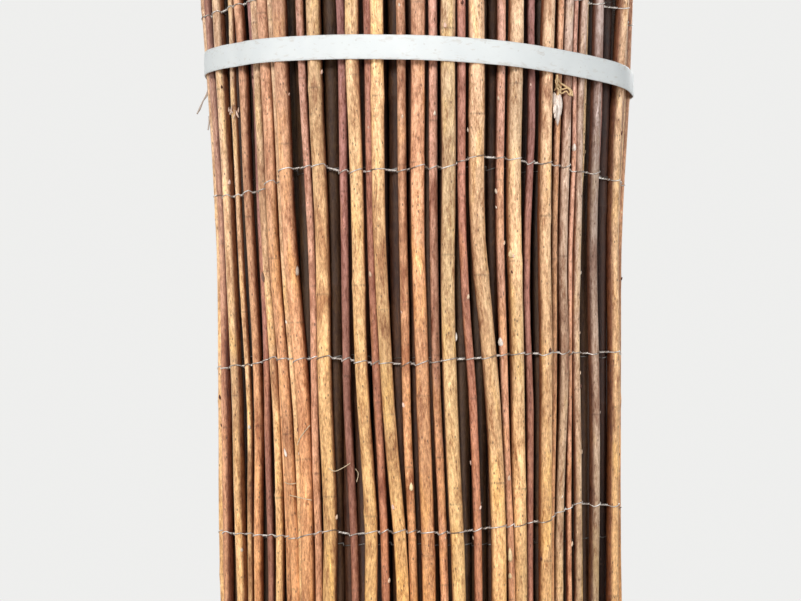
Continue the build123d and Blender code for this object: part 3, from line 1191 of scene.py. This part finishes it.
def add_band(skin, loop, height, tilt, lift, closed):
    """A flat band with rounded edges along a loop or a part of one."""
    half = STRAP_WIDTH / 2
    inner, outer = half - STRAP_BEVELS[0], half - STRAP_BEVELS[1]
    section = [
        (-half, 0.25), (-inner, 0.0), (inner, 0.0), (half, 0.25), (half, 0.7), (outer, 1.0),
        (half * 0.45, 1.0), (0.0, 1.05), (-half * 0.45, 1.0), (-outer, 1.0), (-half, 0.7),
    ]
    ripple, beat = STRAP_RIPPLE
    rings = []
    length = 0.0
    for n, (x, y, ux, uy) in enumerate(loop):
        z = height - x * tan(radians(tilt)) + ripple * sin(beat * length)
        if n:
            length += hypot(x - loop[n - 1][0], y - loop[n - 1][1])
        ring = []
        for rise, share in section:
            out = lift + share * STRAP_THICKNESS
            place = (x + out * ux, y + out * uy, z + rise)
            ring.append(skin.point(place, (length, out, rise), ring=abs(rise) / half))
        if rings:
            skin.join(rings[-1], ring)
        rings.append(ring)
    if closed:
        skin.join(rings[-1], rings[0])
    else:
        skin.faces.append(tuple(reversed(rings[0])))
        skin.faces.append(tuple(rings[-1]))


def make_strap(name, height, tilt):
    """A flat strap pulled tight round the roll, with its ends welded one over the other at the back."""
    skin = Skin()
    loop = taut_loop(turns[OUTER_TURN], height, tilt)
    add_band(skin, loop, height, tilt, 0.0, True)
    back = STRAP_STEPS // 4
    lap = loop[back - STRAP_LAP[0]: back + STRAP_LAP[1]]
    add_band(skin, lap, height, tilt, STRAP_THICKNESS, False)
    skin.make(f"flat_{name}", strap_plastic, [name])


# The dried leaf under the strap, and loose fibres

def smooth_path(points, steps=5):
    """A smooth path through points."""
    path = []
    ends = [points[0], *points, points[-1]]
    for a, b, c, d in zip(ends, ends[1:], ends[2:], ends[3:]):
        for step in range(steps):
            t = step / steps
            bend = (c - a) * t + (2 * a - 5 * b + 4 * c - d) * t**2 + (3 * b - a - 3 * c + d) * t**3
            path.append(b + 0.5 * bend)
    path.append(points[-1])
    return path


def above_bark(mark, lift):
    """A point of the photograph laid on the bark of the roll, lifted a little, and the way out there."""
    point = outermost(on_roll(*mark))
    away = Vector((point.x, point.y, 0)).normalized()
    return point + away * lift, away


def make_leaf():
    """The dried, curled leaf that is caught under the upper strap, and the pale husks of buds."""
    straw, pale, dull = as_light(LEAF_STRAW), as_light(PALE_HUSK), as_light(DULL_HUSK)
    skin = Skin()
    for number, marks in enumerate(LEAF_IN_PHOTO):
        path = smooth_path([above_bark(mark, LEAF_LIFT)[0] for mark in marks])
        sweep(skin, path, LEAF_RADIUS - LEAF_THINNING * number, FIBRE_SIDES, straw)
    for foot, tip, width in HUSKS_IN_PHOTO:
        low, away = above_bark(foot, HUSK_LIFTS[0])
        high, _ = above_bark(tip, HUSK_LIFTS[1])
        add_pod(skin, low, high, width, away, pale if width > THIN_HUSK else dull, *HUSK_DETAIL)
    skin.make("dried_leaf", bud_skin)


def make_fibres():
    """Loose straws and fibres that are caught between the rods, and wisps under the strap's left end."""
    skin = Skin()
    for marks in FIBRES_IN_PHOTO:
        path = smooth_path([above_bark(mark, FIBRE_LIFT)[0] for mark in marks])
        sweep(skin, path, FIBRE_RADIUS, FIBRE_SIDES, as_light(FIBRE_STRAW))
    for marks in WISPS_IN_PHOTO:
        path = smooth_path([on_roll(*mark) for mark in marks])
        sweep(skin, path, WISP_RADIUS, FIBRE_SIDES, as_light(WISP_GREY))
    skin.make("loose_fibres", bud_skin)


# The roll is put together

camera_turn = make_camera()
make_light()
make_floor()

fibre_group = make_fibre_group()
speckle_group = make_speckle_group()
bark_material = make_bark()
wire_metal = make_wire_metal()
strap_plastic = make_strap_plastic()
bud_skin = make_bud_skin()

turns = {turn: read_rods(turn) for turn in range(1, TURNS + 1)}
for turn, rods in turns.items():
    for rod in rods:
        grow(rod, 1.0 if turn == OUTER_TURN else INNER_CROOKED)

front_rods = [rod for rod in turns[OUTER_TURN] if len(rod.stations) == FRONT_STATIONS]
for rod, name in zip(front_rods, FRONT_BARKS):
    rod.bark = BARKS[name]
    rod.plump = PLUMP

for turn, rods in turns.items():
    skin = Skin()
    for rod in rods:
        add_rod(skin, rod, *ROD_DETAIL[turn])
    skin.make(f"willow_rods_turn_{turn}", bark_material, [f"rods_turn_{turn}"])

make_buds()
make_wires()
make_strap("upper_strap", *UPPER_STRAP)
make_strap("lower_strap", *LOWER_STRAP)
make_leaf()
make_fibres()

bpy.context.scene.view_settings.view_transform = "Standard"
